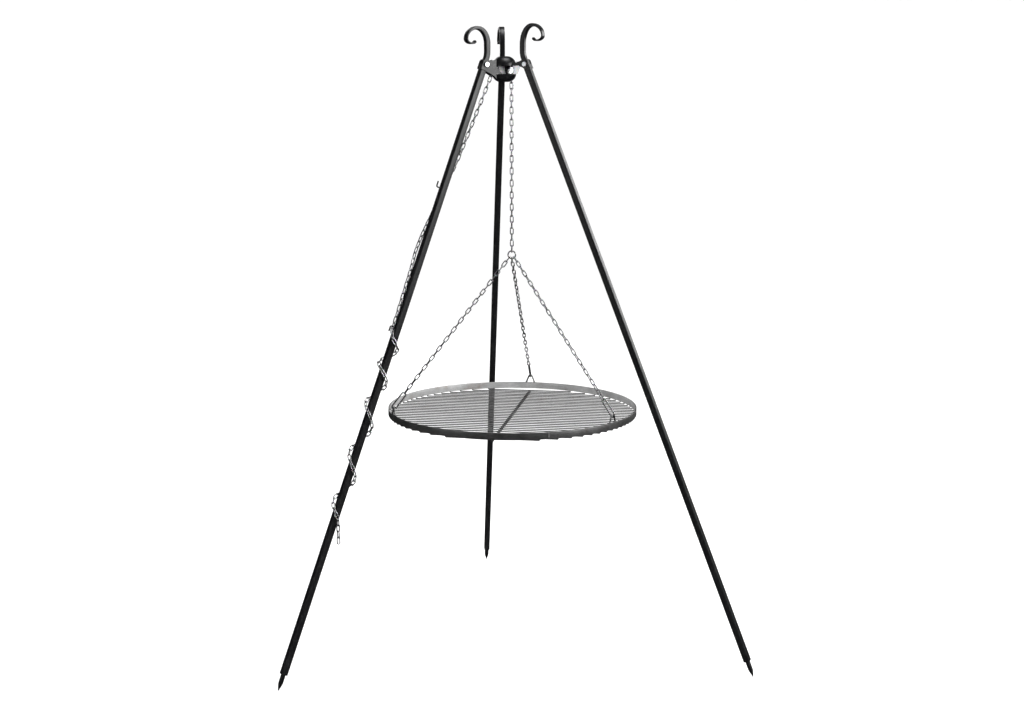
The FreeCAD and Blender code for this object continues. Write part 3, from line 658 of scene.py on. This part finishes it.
def make_rods():
    rods, welds = Shape(), Shape()
    for n in range(-RODS_EACH_SIDE, RODS_EACH_SIDE + 1):
        x = n * ROD_SPACING
        half = math.sqrt((RIM_RADIUS - RIM_SHEET / 2) ** 2 - x * x)
        start, end = Vector((x, -half, ROD_LEVEL)), Vector((x, half, ROD_LEVEL))
        rods.add(rod_rings(GRATE, start, end, ROD_RADIUS, n))
        for way in (-1, 1):
            place = Vector((x, way * (half - 0.6 * MM), ROD_LEVEL + 1.6 * MM))
            add_bead(welds, GRATE, place, (3.1 * MM, 2.4 * MM, 1.2 * MM), n * way + 40)
        if abs(x) < RIM_RADIUS - 24 * MM:
            place = Vector((x, 0.4 * MM, ROD_LEVEL - 1.9 * MM))
            add_bead(welds, GRATE, place, (2.9 * MM, 3.4 * MM, 1.1 * MM), n + 90)
    make_piece("cooking_rods", rods.verts, rods.faces, "grate_rods", 50, ROD_STEEL)
    # the welds take the dark painted-shade steel
    make_piece("rod_welds", welds.verts, welds.faces, "grate_rods", 60, PAINTED_SHADE_STEEL, stands_for=False)


def make_cross_bar():
    reach = RIM_RADIUS - 18 * MM
    ends = Vector((-reach, 0, BAR_LEVEL)), Vector((reach, 0, BAR_LEVEL))
    shape = Shape().add(rod_rings(GRATE, *ends, BAR_RADIUS, 0))
    # the bar takes the dark painted-shade steel, standing in for the shadow of the rods
    make_piece("bar_under_the_rods", shape.verts, shape.faces, "grate_cross_bar", 50, PAINTED_SHADE_STEEL)


def make_staple_welds():
    shape = Shape()
    for turn in (0, 120, 240):
        at = upright(GRATE_AZIMUTH + turn, at=HANG)
        for way in (-1, 1):
            place = Vector((RIM_RADIUS - RIM_SHEET / 2, way * 12.6 * MM, RIM_BASE + RIM_HEIGHT + 0.4 * MM))
            add_bead(shape, at, place, (3.0 * MM, 4.2 * MM, 1.7 * MM), turn + way)
    make_piece("staple_welds", shape.verts, shape.faces, "grate_rim", 60, RIM_STEEL, stands_for=False)


HOOKS_DOWN = 370 * MM, 778 * MM                         # both hooks, down the left leg from its bolt


def make_hook_welds():
    shape = Shape()
    at = leg_frame(LEGS["left"])
    for down in HOOKS_DOWN:
        place = Vector((TUBE_HALF + 0.3 * MM, 0, -down))
        add_bead(shape, at, place, (1.5 * MM, 3.4 * MM, 3.2 * MM), down * 9)
    make_piece("hook_welds", shape.verts, shape.faces, "leg_tube_left", 60, BLACK, stands_for=False)


make_rim()
make_rods()
make_cross_bar()
make_staple_welds()
make_hook_welds()

# ---------------------------------------------------------------- carried-over CAD nodes
OWN_FINISH = {"junction_ring": CHAIN_ZINC}
OWN_FINISH.update({f"hanger_{side}": CHAIN_ZINC for side in LEGS})
OWN_FINISH.update({f"roller_cheek_{side}": PLATE_ZINC for side in ("front", "rear")})
for label, thing in frame["nodes"].items():
    thing.data.materials.clear()
    thing.data.materials.append(OWN_FINISH.get(label, FINISH[SLOT_OF[label]]))

# ---------------------------------------------------------------- floor, light, camera
def make_floor():
    """A plain white floor that curves up all round, like a studio's cove."""
    flat, rise, wall, count = 7.0, 3.0, 9.0, 96
    profile = [(0.02, 0.0), (2.0, 0.0), (4.5, 0.0), (flat, 0.0)]
    for k in range(1, 13):
        a = math.radians(90 * k / 12)
        profile.append((flat + rise * math.sin(a), rise - rise * math.cos(a)))
    profile.append((flat + rise, wall))
    shape = Shape().add(lathe(profile, Matrix.Identity(4), count)[::-1], capped=False)
    shape.faces.append(tuple(len(shape.verts) - count + i for i in range(count)))
    mesh = bpy.data.meshes.new("floor")
    mesh.from_pydata([tuple(v) for v in shape.verts], [], shape.faces)
    mesh.shade_smooth()
    floor = bpy.data.objects.new("floor", mesh)
    bpy.context.scene.collection.objects.link(floor)
    material, shader, _, _ = new_material("floor")
    shader.inputs["Base Color"].default_value = (0.92, 0.92, 0.92, 1)
    shader.inputs["Roughness"].default_value = 1.0
    shader.inputs["Specular IOR Level"].default_value = 0.0
    mesh.materials.append(material)
    floor.visible_glossy = False                        # the lamps alone show in the gloss


def add_light(name, place, target, size, power):
    data = bpy.data.lights.new(name, "AREA")
    data.shape, data.size, data.energy = "DISK", size, power
    light = bpy.data.objects.new(name, data)
    light.location = place
    light.rotation_euler = (Vector(target) - Vector(place)).to_track_quat("-Z", "Y").to_euler()
    bpy.context.scene.collection.objects.link(light)


def make_camera():
    """At standing eye height in front of the tripod, looking slightly down."""
    distance, height, azimuth = 4.4954, 1.6589, 265.026
    heading, pitch, roll = math.radians(86.747), math.radians(-9.858), math.radians(-0.44)
    data = bpy.data.cameras.new("camera")
    data.lens, data.sensor_width = 55.05, 36
    data.shift_x, data.shift_y = 0.0522, -0.0044
    camera = bpy.data.objects.new("camera", data)
    place = upright(azimuth) @ Vector((distance, 0, height))
    level = Vector((math.cos(heading), math.sin(heading), 0))
    forward = level * math.cos(pitch) + Z * math.sin(pitch)
    right = forward.cross(Z).normalized()
    up = right.cross(forward)
    right, up = (right * math.cos(roll) + up * math.sin(roll), up * math.cos(roll) - right * math.sin(roll))
    camera.matrix_world = Matrix.Translation(place) @ Matrix((right, up, -forward)).transposed().to_4x4()
    bpy.context.scene.collection.objects.link(camera)
    bpy.context.scene.camera = camera


make_floor()
add_light("key", (3.8, -2.2, 2.4), (0, -0.2, 1.0), 2.2, 150)
add_light("fill", (-3.8, -2.9, 1.9), (0, -0.2, 1.2), 2.0, 14)
add_light("top", (0.8, -0.6, 5.2), (0, -0.2, 0.7), 2.6, 110)
add_light("rim", (4.2, 2.6, 2.4), (0, -0.2, 0.9), 2.2, 70)
add_light("back", (-1.5, 4.6, 3.0), (0, -0.2, 0.9), 2.4, 60)
world = bpy.data.worlds.new("studio")
world.use_nodes = True
world.node_tree.nodes["Background"].inputs["Color"].default_value = (1, 1, 1, 1)
world.node_tree.nodes["Background"].inputs["Strength"].default_value = 1.05
bpy.context.scene.world = world
world.cycles_visibility.glossy = False
make_camera()
bpy.context.scene.view_settings.view_transform = "Standard"
